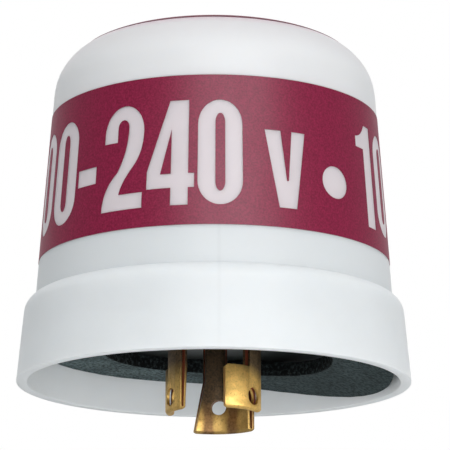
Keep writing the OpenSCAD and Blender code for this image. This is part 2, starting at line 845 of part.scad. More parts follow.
module smoothing_capacitor() {
    r = can_d / 2;
    crimp_z = can_d / 4;
    color(can_black)
        on_board(can_spot) {
            rotate_extrude()
                polygon([[0, 0], [r - can_crimp, 0], [r, can_crimp], [r, crimp_z - can_crimp],
                    [r - can_crimp, crimp_z], [r, crimp_z + can_crimp], [r, can_h - can_crimp],
                    [r - can_crimp, can_h], [0, can_h]]);
            leads(can_leads, lead_d, can_crimp);
        }
}

module dropper_resistor() {
    color(resistor_tan)
        on_board(dropper_spot)
            axial(dropper_d, dropper_l, dropper_pitch, lead_d);
}

module bleed_resistor() {
    color(resistor_tan)
        on_board(bleed_spot)
            rotate([0, 0, 90])
                axial(bleed_d, bleed_l, bleed_pitch, thin_lead_d);
}

module rectifier_diodes() {
    color(can_black)
        on_board(diode_spot)
            for (v = diode_row)
                translate([0, v, 0])
                    axial(diode_d, diode_l, diode_pitch, lead_d);
}

module zener_diode() {
    color(cell_red)
        on_board(zener_spot)
            axial(diode_d, diode_l, diode_pitch, lead_d);
}

module relay_transistor() {
    color(can_black)
        on_board(transistor_spot) {
            translate([0, 0, transistor_lift])
                linear_extrude(transistor_h)
                    intersection() {
                        circle(d = transistor_d);
                        translate([-transistor_d, -transistor_d])
                            square([transistor_d + transistor_flat, 2 * transistor_d]);
                    }
            leads(transistor_leads, thin_lead_d, transistor_lift + transistor_h / 2);
        }
}

// Post on the board that ends in a cup for the cell, with holes in the cup's floor for the cell's leads
module sensor_holder() {
    color(white)
        on_board(holder_spot)
            difference() {
                union() {
                    translate([-holder_foot_l / 2, -holder_foot_w / 2, 0])
                        cube([holder_foot_l, holder_foot_w, holder_foot_t]);
                    translate([-column_t / 2, -column_w / 2, 0])
                        cube([column_t, column_w, cell_z]);
                    translate([-column_t / 2, 0, cell_z])
                        rotate([0, 90, 0])
                            cylinder(r = cup_r, h = cell_back + cell_t + column_t / 2);
                    leads(pegs, peg_d, holder_foot_t);
                }
                translate([cell_back, 0, cell_z])
                    rotate([0, 90, 0])
                        cylinder(d = cell_d + 2 * cell_clear, h = cell_t + over);
                for (p = cell_leads) {
                    translate([-column_t, p.y, cell_z])
                        rotate([0, 90, 0])
                            cylinder(d = lead_d + 2 * lead_clear, h = cell_back + column_t + over);
                    translate([p.x, p.y, -over])
                        cylinder(d = lead_d + 2 * lead_clear, h = holder_foot_t + 2 * over);
                }
            }
}

module photocell() {
    color(cell_red)
        on_board(holder_spot) {
            translate([cell_back, 0, cell_z])
                rotate([0, 90, 0])
                    cylinder(d = cell_d, h = cell_t);
            for (p = cell_leads) {
                translate([p.x, p.y, cell_z])
                    rotate([0, 90, 0])
                        cylinder(d = lead_d, h = cell_back - p.x + cell_t / 2);
                translate([p.x, p.y, cell_z])
                    sphere(d = lead_d);
            }
            leads(cell_leads, lead_d, cell_z);
        }
}

cover();
printed_band();
printed_top();
base();
gasket();
line_blade();
load_blade();
neutral_blade();
blade_screws();
circuit_board();
board_screws();
relay();
surge_arrester();
dropper_capacitor();
smoothing_capacitor();
dropper_resistor();
bleed_resistor();
rectifier_diodes();
zener_diode();
relay_transistor();
sensor_holder();
photocell();
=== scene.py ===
"""Looks of a twist-lock photocell switch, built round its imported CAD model.

The white cover is turned from its section, the maroon print is wrapped round it with its figures left bare,
and the foam gasket, the brass blades and everything inside get their finishes here.
"""

import json
import math

import bmesh
import bpy
from bpy.props import FloatProperty, FloatVectorProperty, IntProperty, PointerProperty
from mathutils import Matrix, Vector, noise

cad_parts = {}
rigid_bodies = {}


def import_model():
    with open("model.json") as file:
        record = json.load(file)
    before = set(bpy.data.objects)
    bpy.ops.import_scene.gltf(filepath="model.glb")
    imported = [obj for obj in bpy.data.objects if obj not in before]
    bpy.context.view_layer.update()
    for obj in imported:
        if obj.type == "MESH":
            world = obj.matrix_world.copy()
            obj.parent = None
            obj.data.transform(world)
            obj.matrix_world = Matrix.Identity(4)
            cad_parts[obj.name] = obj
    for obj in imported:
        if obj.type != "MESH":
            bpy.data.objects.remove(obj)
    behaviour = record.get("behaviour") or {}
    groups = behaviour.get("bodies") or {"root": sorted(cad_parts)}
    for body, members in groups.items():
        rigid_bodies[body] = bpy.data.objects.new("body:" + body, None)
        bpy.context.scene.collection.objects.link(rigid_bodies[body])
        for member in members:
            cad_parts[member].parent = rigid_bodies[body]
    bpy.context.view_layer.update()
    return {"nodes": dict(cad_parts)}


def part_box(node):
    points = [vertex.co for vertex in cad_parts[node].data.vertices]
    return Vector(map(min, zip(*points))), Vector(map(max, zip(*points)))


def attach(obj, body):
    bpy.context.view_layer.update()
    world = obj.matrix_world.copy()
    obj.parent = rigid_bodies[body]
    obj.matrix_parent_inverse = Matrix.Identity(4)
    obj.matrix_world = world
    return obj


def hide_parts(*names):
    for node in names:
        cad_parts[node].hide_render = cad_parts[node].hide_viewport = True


bl_info = {
    "name": "Photocell Switch Looks",
    "version": (1, 0, 0),
    "blender": (4, 5, 0),
    "location": "3D View > Sidebar > Photocell Switch",
    "description": "Builds the visible pieces of a twist-lock photocell switch and the studio round it",
    "category": "Object",
}

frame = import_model()
NODES = frame["nodes"]

MM = 0.001
MERGE = 0.001 * MM
# Angles in degrees from which edges stay sharp
SHARP = 40
SHEET_SHARP = 30
FOAM_SHARP = 50
ROOM_COLOUR = (0.955, 1.0, 1.02, 1.0)
WHITE = (1.0, 1.0, 1.0, 1.0)


# Values that a user would change


def Length(name, description, default):
    """Setting that holds a length"""
    return FloatProperty(name=name, description=description, default=default, unit="LENGTH")


def Angle(name, description, degrees):
    """Setting that holds an angle"""
    return FloatProperty(name=name, description=description, default=math.radians(degrees), subtype="ANGLE")


def Power(name, description, watts):
    """Setting that holds the power of a lamp"""
    return FloatProperty(name=name, description=description, default=watts, unit="POWER")


def Count(name, description, default, least=1):
    """Setting that holds a number of things"""
    return IntProperty(name=name, description=description, default=default, min=least)


def Colour(description, default):
    """Setting that holds a colour"""
    return FloatVectorProperty(name="Colour", description=description, default=default, size=3, subtype="COLOR")


class CoverSettings(bpy.types.PropertyGroup):
    """Sizes and colour of the white cover"""

    rim_radius: Length("Rim radius", "Radius of the skirt at its rim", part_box("cover")[1][0])
    height: Length("Height", "Height of the crown above the rim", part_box("cover")[1][2])
    skirt_wall: Length("Skirt wall", "Wall thickness of the skirt", 2.3 * MM)
    skirt_height: Length("Skirt height", "Height of the skirt up to its shoulder", 14.8 * MM)
    skirt_draft: Angle("Skirt draft", "Lean of the skirt", 5)
    rim_round: Length("Rim rounding", "Radius along both edges of the rim", 0.2 * MM)
    shoulder_radius: Length("Shoulder radius", "Radius of the skirt's shoulder", 3.5 * MM)
    shoulder_step: Length("Shoulder step", "Step from the skirt in to the body", 2.15 * MM)
    ledge_drop: Length("Ledge drop", "Inner ledge below the shoulder", 0.8 * MM)
    body_draft: Angle("Body draft", "Lean of the body", 4)
    body_wall: Length("Body wall", "Wall thickness of the body", 2 * MM)
    dome_radius: Length("Dome radius", "Radius of the rounded top edge", 11.5 * MM)
    crown_slope: Angle("Crown slope", "Slope of the crown where it meets the dome", 4)
    steps_round: Count("Steps round", "Number of steps round the turned cover", 192, least=24)
    bead_count: Count("Snap beads", "Number of snap beads", 6)
    bead_span: Angle("Bead span", "Angle of each snap bead", 14)
    bead_depth: Length("Bead depth", "How far the beads stand in", 0.9 * MM)
    bead_height: Length("Bead height", "Height of the beads", 1.6 * MM)
    colour: Colour("Colour of the milky plastic", (0.825, 0.853, 0.868))


class PrintSettings(bpy.types.PropertyGroup):
    """Sizes and colour of the maroon print"""

    ink: Length("Ink", "Thickness of the ink", 0.1 * MM)
    figure_height: Length("Figure height", "Height of the bare figures", 22.2 * MM)
    figure_lift: Length("Figure lift", "Foot of the figures above the foot of the band", 4.1 * MM)
    first_turn: Angle("First figure", "Direction of the first figure, from the front to the right", -97.2)
    phrase_turn: Angle("Phrase", "Angle from one run of figures to the next", 149)
    phrase_count: Count("Runs", "Number of runs of figures", 2)
    disc_margin: Length("Disc margin", "How far the disc's ink runs past the solid one", 0.55 * MM)
    colour: Colour("Colour of the ink", (0.222, 0.012, 0.047))


class GasketSettings(bpy.types.PropertyGroup):
    """Sizes and colour of the foam gasket"""

    hole_radius: Length("Hole radius", "Radius of its hole", 24 * MM)
    thickness: Length("Thickness", "Thickness of the foam", 2.9 * MM)
    sag_turn: Angle("Sag direction", "Side on which the gasket hangs", 19)
    sag_start: Length("Sag start", "Distance from the axis at which it leaves the base", 4.5 * MM)
    sag_radius: Length("Sag radius", "Radius of its bend", 91 * MM)
    lobe: Length("Lobe", "How far its edge bulges at the left", 0.8 * MM)
    colour: Colour("Colour of the foam", (0.052, 0.071, 0.073))


class BladeSettings(bpy.types.PropertyGroup):
    """Edges and colour of the brass blades"""

    edge: Length("Edge", "Width of the rounding along the sheared edges", 0.07 * MM)
    colour: Colour("Colour of the brass", (0.83, 0.54, 0.17))


class StageSettings(bpy.types.PropertyGroup):
    """Camera, lamps and floor"""

    lens: FloatProperty(name="Lens", description="Focal length in millimetres", default=185.64, min=1)
    eye: FloatVectorProperty(
        name="Eye", description="Place of the camera", default=(0.0, -0.48230, -0.08673), size=3, subtype="XYZ",
        unit="LENGTH",
    )
    tilt: Angle("Tilt", "How far the camera looks up", 13.83)
    aim: FloatVectorProperty(
        name="Aim", description="Middle of the picture to the right of and above the tilted axis, per unit of depth",
        default=(0.004577, 0.005426), size=2,
    )
    roll: Angle("Roll", "Roll of the camera", 0.178)
    floor_level: Length("Floor", "Level of the floor", -0.13)
    key_power: Power("Main lamp", "Power of the main soft lamp", 2.5)
    gloss_power: Power("Gloss lamp", "Power of the lamp that only shows in glossy faces", 25)
    side_power: Power("Side lamp", "Power of the lamp at the right", 1.5)
    top_power: Power("Top lamp", "Power of the lamp overhead", 0.8)
    low_power: Power("Low lamp", "Power of the lamp low down", 0.7)
    front_power: Power("Front lower lamp", "Power of the lamp below the front", 0.1)
    right_power: Power("Right lower lamp", "Power of the lamp below the right side", 0.095)
    ambient: FloatProperty(name="Room", description="Strength of the light from the room", default=0.355, min=0)


class SwitchSettings(bpy.types.PropertyGroup):
    """All values of the photocell switch"""

    cover: PointerProperty(type=CoverSettings)
    band: PointerProperty(type=PrintSettings)
    gasket: PointerProperty(type=GasketSettings)
    blades: PointerProperty(type=BladeSettings)
    stage: PointerProperty(type=StageSettings)


# Section of the cover


def arc(centre, radius, start, end, steps):
    """Points along a flat arc, with one radius or with one across and one up"""
    across, up = radius if isinstance(radius, tuple) else (radius, radius)
    turns = (start + (end - start) * i / steps for i in range(steps + 1))
    return [(centre[0] + across * math.cos(a), centre[1] + up * math.sin(a)) for a in turns]


class CoverForm:
    """Radii, levels and arc centres of the cover's section"""

    def __init__(self, c):
        self.c = c
        rim, draft = c.rim_radius, c.skirt_draft
        self.rim_outer = (rim - c.rim_round * math.cos(draft), c.rim_round)
        self.rim_inner = (rim - c.skirt_wall + c.rim_round * math.cos(draft), c.rim_round)
        edge = self.skirt_outer(c.skirt_height)
        self.shoulder = (
            edge - c.shoulder_radius * math.cos(draft), c.skirt_height - c.shoulder_radius * math.sin(draft)
        )
        self.foot = edge - c.shoulder_step
        bd, cs, dome = c.body_draft, c.crown_slope, c.dome_radius
        to_body = (self.foot - self.shoulder[0]) * math.cos(bd) + (c.skirt_height - self.shoulder[1]) * math.sin(bd)
        self.shoulder_end = bd + math.acos(to_body / c.shoulder_radius)
        base = self.foot - (dome * math.sin(bd) - c.skirt_height) * math.tan(bd) - dome * math.cos(bd)
        rise = dome * math.cos(cs) + (base + dome * math.sin(cs)) * math.tan(cs / 2)
        level = (c.height - rise) / (1 - math.tan(bd) * math.tan(cs / 2))
        self.dome = (base - level * math.tan(bd), level)
        self.crown_radius = dome + self.dome[0] / math.sin(cs)
        self.crown = (0.0, c.height - self.crown_radius)
        self.ledge = c.skirt_height - c.ledge_drop

    def skirt_outer(self, z):
        """Outer radius of the skirt at a level"""
        return self.c.rim_radius - (z - self.c.rim_round) * math.tan(self.c.skirt_draft)

    def skirt_inner(self, z):
        """Inner radius of the skirt at a level"""
        return self.skirt_outer(z) - self.c.skirt_wall

    def body_outer(self, z):
        """Outer radius of the body at a level"""
        return self.foot - (z - self.c.skirt_height) * math.tan(self.c.body_draft)

    def body_inner(self, z):
        """Inner radius of the body at a level"""
        return self.body_outer(z) - self.c.body_wall / math.cos(self.c.body_draft)

    def top(self, depth, dome_steps=28, crown_steps=20):
        """Section from the body over the dome to the axis, set in by a depth"""
        c, right = self.c, math.pi / 2
        dome = arc(self.dome, c.dome_radius - depth, c.body_draft, right - c.crown_slope, dome_steps)
        crown = arc(self.crown, self.crown_radius - depth, right - c.crown_slope, right, crown_steps)
        return dome + crown[1:]

    def section(self):
        """Whole section, from the axis down the inside, round the rim and back up the outside"""
        c, right, rim_steps, shoulder_steps = self.c, math.pi / 2, 8, 14
        inner = list(reversed(self.top(c.body_wall)))
        inner += [(self.body_inner(self.ledge), self.ledge), (self.skirt_inner(self.ledge), self.ledge)]
        rim = arc(self.rim_inner, c.rim_round, math.pi + c.skirt_draft, 3 * right, rim_steps)
        rim += arc(self.rim_outer, c.rim_round, 3 * right, 4 * right + c.skirt_draft, rim_steps)[1:]
        shoulder = arc(self.shoulder, c.shoulder_radius, c.skirt_draft, self.shoulder_end, shoulder_steps)
        return inner + rim + shoulder + self.top(0.0)


# Mesh helpers


def add_object(name, data):
    """Links an object at the origin to the scene"""
    obj = bpy.data.objects.new(name, data)
    bpy.context.scene.collection.objects.link(obj)
    return obj


def edited(mesh):
    """Editable copy of a mesh"""
    bm = bmesh.new()
    bm.from_mesh(mesh)
    return bm


def keep(bm, mesh):
    """Writes an editable copy into a mesh and lets the copy go"""
    bm.to_mesh(mesh)
    bm.free()
    return mesh


def skin(bm, rows):
    """Faces from each row of points to the next, where each row is a closed section"""
    for near, far in zip(rows, rows[1:]):
        for k, point in enumerate(near):
            n = (k + 1) % len(near)
            bm.faces.new((point, near[n], far[n], far[k]))


def dress(name, mesh, sharp, node, material):
    """Puts a finished mesh in the place of its CAD node, smooth but for edges from an angle in degrees on"""
    for face in mesh.polygons:
        face.use_smooth = True
    mesh.set_sharp_from_angle(angle=math.radians(sharp))
    mesh.materials.clear()
    mesh.materials.append(material)
    obj = add_object(name, mesh)
    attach(obj, "root")
    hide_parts(node)


def poly_curve(name, loops, flat=False):
    """Curve with a straight-sided spline for each loop of points: open, or flat, closed and filled"""
    curve = bpy.data.curves.new(name, "CURVE")
    curve.dimensions = "2D" if flat else "3D"
    if flat:
        curve.fill_mode = "BOTH"
    for loop in loops:
        spline = curve.splines.new("POLY")
        spline.points.add(len(loop) - 1)
        for point, place in zip(spline.points, loop):
            point.co = (*place, 0.0, 1.0)
        spline.use_cyclic_u = flat
    return add_object(name, curve)


def plain_mesh(helper):
    """Plain mesh of a helper object with its modifiers applied; the helper is removed"""
    graph = bpy.context.evaluated_depsgraph_get()
    graph.update()
    mesh = bpy.data.meshes.new_from_object(helper.evaluated_get(graph), depsgraph=graph)
    bpy.data.objects.remove(helper, do_unlink=True)
    return mesh


# Node trees


class Tree:
    """Short way of writing a node tree"""

    def __init__(self, tree):
        self.tree = tree

    def node(self, kind, values=None, **settings):
        """Adds a node, with settings by attribute, and numbers or links by input"""
        made = self.tree.nodes.new(kind)
        for key, value in settings.items():
            setattr(made, key, value)
        for key, value in (values or {}).items():
            if isinstance(value, bpy.types.NodeSocket):
                self.tree.links.new(value, made.inputs[key])
            else:
                made.inputs[key].default_value = value
        return made

    def math(self, operation, *values):
        """Math node on sockets or numbers"""
        return self.node("ShaderNodeMath", dict(enumerate(values)), operation=operation).outputs[0]

    def vector(self, operation, first, second):
        """Outputs of a vector math node"""
        return self.node("ShaderNodeVectorMath", {0: first, 1: second}, operation=operation).outputs

    def axes(self, place):
        """The three parts of a place"""
        return self.node("ShaderNodeSeparateXYZ", {0: place}).outputs

    def place(self):
        """Place on the piece itself"""
        return self.node("ShaderNodeTexCoord").outputs["Object"]

    def noise(self, place, size, detail, roughness, distortion=0.0):
        """Noise with features of a size"""
        values = {"Vector": place, "Scale": self.math("DIVIDE", 1.0, size)}
        values.update({"Detail": detail, "Roughness": roughness, "Distortion": distortion})
        return self.node("ShaderNodeTexNoise", values).outputs["Fac"]

    def spread(self, out, low=0.3, high=0.7, to_low=0.0, to_high=1.0, step="LINEAR"):
        """Maps a range of a value, or the usual range of a noise, to another"""
        values = {"Value": out, "From Min": low, "From Max": high, "To Min": to_low, "To Max": to_high}
        return self.node("ShaderNodeMapRange", values, interpolation_type=step).outputs["Result"]


class Group(Tree):
    """Node group with named inputs, each with its default, and named outputs"""

    def __init__(self, name, kind, takes, gives):
        super().__init__(bpy.data.node_groups.new(name, kind))
        self.ids = {socket: self.socket(socket, default) for socket, default in takes.items()}
        for socket, default in gives.items():
            self.socket(socket, default, "OUTPUT")
        self.given = self.node("NodeGroupInput").outputs

    def socket(self, name, default, side="INPUT"):
        """Adds a whole number, a number or what its name says to the interface, and returns its identifier"""
        kind = {int: "Int", float: "Float"}.get(type(default), name)
        item = self.tree.interface.new_socket(name, in_out=side, socket_type="NodeSocket" + kind)
        if default is not None:
            item.default_value = default
        return item.identifier


class ShapingTree(Group):
    """Geometry node tree that takes a shape, sizes and a material"""

    def __init__(self, name, sizes):
        takes = {"Geometry": None, **sizes, "Material": None}
        super().__init__(name, "GeometryNodeTree", takes, {"Geometry": None})

    def end(self, shape):
        """Ends the tree in real geometry with the material on it"""
        real = self.node("GeometryNodeRealizeInstances", {0: shape}).outputs[0]
        painted = self.node("GeometryNodeSetMaterial", {"Geometry": real, "Material": self.given["Material"]})
        self.node("NodeGroupOutput", {0: painted.outputs[0]})
        return self

    def run(self, helper, **sizes):
        """Plain mesh that the tree makes of a helper object, with the sizes set by identifier"""
        modifier = helper.modifiers.new(self.tree.name, "NODES")
        modifier.node_group = self.tree
        for name, value in sizes.items():
            modifier[self.ids[name.replace("_", " ")]] = value
        return plain_mesh(helper)


def turning_tree():
    """Tree that turns a section about the upright axis"""
    t = ShapingTree("turned section", {"Steps round": 96, "Axle radius": 1.0 * MM})
    ring = t.node(
        "GeometryNodeCurvePrimitiveCircle",
        {"Resolution": t.given["Steps round"], "Radius": t.given["Axle radius"]},
    )
    sweep = t.node(
        "GeometryNodeCurveToMesh", {"Curve": ring.outputs["Curve"], "Profile Curve": t.given["Geometry"]}
    )
    merge = t.node("GeometryNodeMergeByDistance", {"Geometry": sweep.outputs["Mesh"], "Distance": MERGE})
    return t.end(merge.outputs[0])


def ring_tree():
    """Tree that repeats a piece at even angles round the upright axis"""
    t = ShapingTree("pieces round the axis", {"Count": 6})
    index = t.node("GeometryNodeInputIndex").outputs[0]
    turn = t.math("DIVIDE", t.math("MULTIPLY", index, math.tau), t.given["Count"])
    points = t.node("GeometryNodePoints", {"Count": t.given["Count"]})
    turned = t.node("ShaderNodeCombineXYZ", {"Z": turn})
    pieces = t.node(
        "GeometryNodeInstanceOnPoints",
        {"Points": points.outputs[0], "Instance": t.given["Geometry"], "Rotation": turned.outputs[0]},
    )
    return t.end(pieces.outputs[0])


def wrapping_tree():
    """Tree that wraps a flat print round the tapered body and gives the ink its thickness"""
    t = ShapingTree("print round the body", {
        "Drawn radius": 36 * MM, "Foot radius": 37 * MM, "Foot level": 25 * MM, "Draft": 0.07, "Ink": 0.1 * MM,
    })
    flat = t.axes(t.node("GeometryNodeInputPosition").outputs[0])
    turn = t.math("DIVIDE", flat["X"], t.given["Drawn radius"])
    lean = t.math("MULTIPLY", flat["Y"], t.math("TANGENT", t.given["Draft"]))
    radius = t.math("SUBTRACT", t.given["Foot radius"], lean)
    front = t.math("MULTIPLY", radius, t.math("COSINE", turn))
    place = t.node("ShaderNodeCombineXYZ", {
        "X": t.math("MULTIPLY", radius, t.math("SINE", turn)),
        "Y": t.math("MULTIPLY", front, -1.0),
        "Z": t.math("ADD", t.given["Foot level"], flat["Y"]),
    })
    wrap = t.node("GeometryNodeSetPosition", {"Geometry": t.given["Geometry"], "Position": place.outputs[0]})
    seam = t.node("GeometryNodeMergeByDistance", {"Geometry": wrap.outputs[0], "Distance": MERGE}).outputs[0]
    raised = t.node(
        "GeometryNodeExtrudeMesh", {"Mesh": seam, "Offset Scale": t.given["Ink"], "Individual": False}, mode="FACES"
    )
    back = t.node("GeometryNodeFlipFaces", {"Mesh": seam})
    both = t.node("GeometryNodeJoinGeometry", {0: raised.outputs["Mesh"]})
    t.tree.links.new(back.outputs["Mesh"], both.inputs[0])
    shut = t.node("GeometryNodeMergeByDistance", {"Geometry": both.outputs[0], "Distance": 0.1 * MERGE})
    return t.end(shut.outputs[0])


def turned(name, section, steps, material):
    """Closed mesh of a section turned about the upright axis, with its doubles merged and its faces outwards"""
    axle = 1.0 * MM
    outline = poly_curve(name, [[(r - axle, -z) for r, z in section]])
    mesh = turning_tree().run(outline, Steps_round=steps, Axle_radius=axle, Material=material)
    bm = edited(mesh)
    bmesh.ops.remove_doubles(bm, verts=bm.verts, dist=MERGE)
    bmesh.ops.dissolve_degenerate(bm, edges=bm.edges, dist=MERGE)
    bmesh.ops.recalc_face_normals(bm, faces=bm.faces)
    return keep(bm, mesh)


# Shader groups and finishes


def grain_group():
    """Fine moulded grain: a height, and slow patches of tone and gloss"""
    t = Group(
        "moulded grain", "ShaderNodeTree",
        {"Grain size": 0.4 * MM, "Patch size": 20 * MM, "Gloss": 0.4, "Gloss change": 0.08},
        {"Height": 0.0, "Patches": 0.0, "Roughness": 0.0},
    )
    place = t.place()
    fine = t.noise(place, t.given["Grain size"], 3.0, 0.6)
    slow = t.noise(place, t.given["Patch size"], 4.0, 0.55)
    shift = t.math("MULTIPLY", t.math("SUBTRACT", slow, 0.5), t.given["Gloss change"])
    gloss = t.math("ADD", t.given["Gloss"], t.math("MULTIPLY", shift, 2.0))
    t.node("NodeGroupOutput", {"Height": fine, "Patches": slow, "Roughness": gloss})
    return t.tree


def streak_group():
    """Rolling streaks and tarnish on sheet metal"""
    t = Group(
        "rolled metal", "ShaderNodeTree",
        {"Streak size": 0.3 * MM, "Stretch": 0.08, "Stain size": 6 * MM, "Gloss": 0.25},
        {"Streaks": 0.0, "Stain": 0.0, "Roughness": 0.0},
    )
    place = t.place()
    size = t.node("ShaderNodeCombineXYZ", {"X": 1.0, "Y": 1.0, "Z": t.given["Stretch"]})
    lines = t.noise(t.vector("MULTIPLY", place, size.outputs[0])[0], t.given["Streak size"], 4.0, 0.65)
    stain = t.spread(t.noise(place, t.given["Stain size"], 5.0, 0.6, 0.4), 0.42, 0.72)
    dull = t.math("MULTIPLY", stain, 0.16)
    fine = t.math("MULTIPLY", t.math("SUBTRACT", lines, 0.5), 0.18)
    gloss = t.math("ADD", t.given["Gloss"], t.math("ADD", dull, fine))
    t.node("NodeGroupOutput", {"Streaks": lines, "Stain": stain, "Roughness": gloss})
    return t.tree


class Finish(Tree):
    """A Principled material of a colour, and short ways of feeding it"""

    def __init__(self, name, colour=WHITE, **constants):
        self.material = bpy.data.materials.new(name)
        self.material.use_nodes = True
        super().__init__(self.material.node_tree)
        self.colour = colour
        self.shader = self.tree.nodes["Principled BSDF"].inputs
        for key, value in constants.items():
            self.shader[key.replace("_", " ")].default_value = value

    def effect(self, name, maker, values):
        """Outputs of a shared group with its own values; the group is made the first time it is needed"""
        tree = bpy.data.node_groups.get(name) or maker()
        return self.node("ShaderNodeGroup", values, node_tree=tree).outputs

    def grain(self, size, patch, gloss, change):
        """Outputs of the moulded grain"""
        values = {"Grain size": size, "Patch size": patch, "Gloss": gloss, "Gloss change": change}
        return self.effect("moulded grain", grain_group, values)

    def rolled(self, size, stretch, stain, gloss):
        """Outputs of the rolled metal"""
        values = {"Streak size": size, "Stretch": stretch, "Stain size": stain, "Gloss": gloss}
        return self.effect("rolled metal", streak_group, values)

    def mix(self, factor, *colours):
        """Mix of two colours, where a number, or three, stands for a tone of the finish's own colour"""
        values = {0: factor}
        for key, colour in zip((6, 7), colours):
            plain = isinstance(colour, bpy.types.NodeSocket) or isinstance(colour, tuple) and len(colour) == 4
            values[key] = colour if plain else tone(self.colour, colour)
        return self.node("ShaderNodeMix", values, data_type="RGBA").outputs[2]

    def finished(self, bump=None, **sockets):
        """The material, with outputs linked to its shader and a bump by height, strength and depth"""
        if bump:
            values = dict(zip(("Height", "Strength", "Distance"), bump))
            sockets["Normal"] = self.node("ShaderNodeBump", values).outputs["Normal"]
        for key, out in sockets.items():
            self.tree.links.new(out, self.shader[key.replace("_", " ")])
        return self.material


def tone(colour, factor):
    """A colour made lighter or darker by one factor, or by one for each part, with its alpha"""
    factors = factor if isinstance(factor, tuple) else (factor,) * 3
    return (*(min(1.0, part * f) for part, f in zip(colour, factors)), 1.0)


def plastic(name, colour, gloss=0.4, grain=0.4 * MM, bump=0.15, change=0.10, **constants):
    """Moulded plastic, lacquer or ceramic with grain and slow patches of tone"""
    finish = Finish(name, colour, **constants)
    made = finish.grain(grain, 12 * MM, gloss, 0.08)
    patched = finish.mix(finish.spread(made["Patches"]), 1 - change, 1 + change)
    return finish.finished((made["Height"], bump, 0.05 * MM), Base_Color=patched, Roughness=made["Roughness"])


def steel_finish(colour, stained):
    """Plated steel of the screws, with faint streaks and stains"""
    finish = Finish("plated screw steel", colour, Metallic=1.0)
    made = finish.rolled(0.3 * MM, 1.0, 5 * MM, 0.3)
    drawn = finish.mix(finish.spread(made["Streaks"]), 0.92, 1.06)
    drawn = finish.mix(made["Stain"], drawn, stained)
    return finish.finished((made["Streaks"], 0.05, 0.02 * MM), Base_Color=drawn, Roughness=made["Roughness"])


def brass(name, colour, gloss, tarnish_and_shade, lean, dull, bands):
    """Sheet brass: grained, banded along its tip, and dull above two levels that lean across it, from painted shade
    and some tarnishing
    """
    finish = Finish(name, colour)
    made = finish.rolled(0.35 * MM, 0.06, 4 * MM, gloss)
    grain = finish.grain(0.45 * MM, 3 * MM, gloss, 0.05)["Height"]
    speckle = finish.spread(grain, 0.35, 0.65)
    place = finish.place()
    axes = finish.axes(place)
    drawn = finish.mix(finish.spread(made["Streaks"]), 0.86, 1.08)
    pitted = finish.mix(finish.spread(grain, 0.48, 0.34, 0.0, 0.8), drawn, 0.55)
    stained = finish.mix(made["Stain"], pitted, 0.62)
    # Brown bands along the tip, as painted reflection of the dark surroundings in its curve
    wave = finish.node("ShaderNodeTexWave", {
        "Vector": place, "Scale": 60.0, "Distortion": 1.0, "Detail": 2.0, "Detail Scale": 5.0, "Phase Offset": 4.6,
    })
    brown = finish.mix(speckle, (0.2, 0.15, 0.27), (0.36, 0.29, 0.46))
    painted_bands = finish.mix(finish.spread(wave.outputs["Fac"], 0.35, 0.85, bands * 0.2, bands), stained, brown)
    # A root darkened by painted shade and painted reflection of the dark recess, with some tarnishing
    level = finish.math("MULTIPLY_ADD", axes["X"], lean, axes["Z"])
    root = finish.mix(speckle, (0.1, 0.12, 0.26), (0.22, 0.22, 0.41))
    shaded_root = finish.mix(finish.spread(level, *tarnish_and_shade, 0.0, dull), painted_bands, root)
    # Darker, redder and less metallic where the sheet lies close to itself: painted shade and bounced light, with
    # some oxide
    near = finish.node("ShaderNodeAmbientOcclusion", {"Distance": 2 * MM}, samples=8).outputs["AO"]
    return finish.finished(
        (made["Streaks"], 0.03, 0.02 * MM), Roughness=made["Roughness"],
        Base_Color=finish.mix(finish.spread(near, 0.75, 0.35), shaded_root, (0.5, 0.2, 0.3)),
        Metallic=finish.spread(near, 0.35, 0.75, 0.15, 1.0),
    )


def cover_finish(settings, band_low, band_high, disc_low):
    """Milky plastic with a faint cloud in it, tinted a little where the ink lies; painted light and shade on body
    and dome
    """
    finish = Finish(
        "milky cover plastic", settings.colour, Specular_IOR_Level=0.045, Subsurface_Weight=0.7,
        Subsurface_Radius=(1.0, 0.95, 0.9), Subsurface_Scale=4 * MM,
    )
    made = finish.grain(0.5 * MM, 16 * MM, 0.36, 0.05)
    place = finish.place()
    level = finish.axes(place)["Z"]
    hollow_foot, foot_soft, dome_soft, print_soft = 17.2 * MM, 1.2 * MM, 0.6 * MM, 0.4 * MM
    dome_low, dome_high = 63.5 * MM, 71.2 * MM
    haze_low, haze_high = disc_low - 1.9 * MM, disc_low - 0.2 * MM
    parting_side, parting_out, parting_in = (1.0, 0.024, 0.0), 0.6 * MM, 0.1 * MM

    def above(low, soft):
        """Mask of what lies above a level, with a soft step"""
        return finish.spread(level, low - soft, low + soft)

    def between(low, low_soft, high, high_soft):
        """Mask of a range of levels, with a soft step at either end"""
        return finish.math("MULTIPLY", above(low, low_soft), above(high, -high_soft))

    cloud = finish.mix(finish.spread(made["Patches"]), 0.98, 1.02)
    # Painted shade: the body from the shoulder up to the top of the print is greyer than the skirt and the crown
    shaded_body = between(hollow_foot, foot_soft, band_high, dome_soft)
    lower = finish.mix(shaded_body, cloud, 0.925)
    # The mould's halves meet in a faint line down the front and the back
    apart = finish.math("ABSOLUTE", finish.vector("DOT_PRODUCT", place, parting_side)["Value"])
    lower = finish.mix(finish.spread(apart, parting_out, parting_in), lower, finish.mix(shaded_body, 0.98, 0.89))
    # Painted light and shade: the dome is lighter at its foot, greyer at the crown, and hazy with ink by the disc
    rise = finish.spread(level, dome_low, dome_high, step="SMOOTHSTEP")
    dome = finish.mix(rise, (1.085, 1.04, 1.03), (0.9, 0.84, 0.84))
    dome = finish.mix(finish.spread(level, haze_low, haze_high), dome, (0.92, 0.68, 0.74))
    body = finish.mix(above(band_high, dome_soft), lower, dome)
    # The ink tints the figures that it leaves bare
    tinted = finish.mix(between(band_low, print_soft, band_high, print_soft), body, (0.93, 0.8, 0.815))
    return finish.finished((made["Height"], 0.08, 0.04 * MM), Base_Color=tinted, Roughness=made["Roughness"])


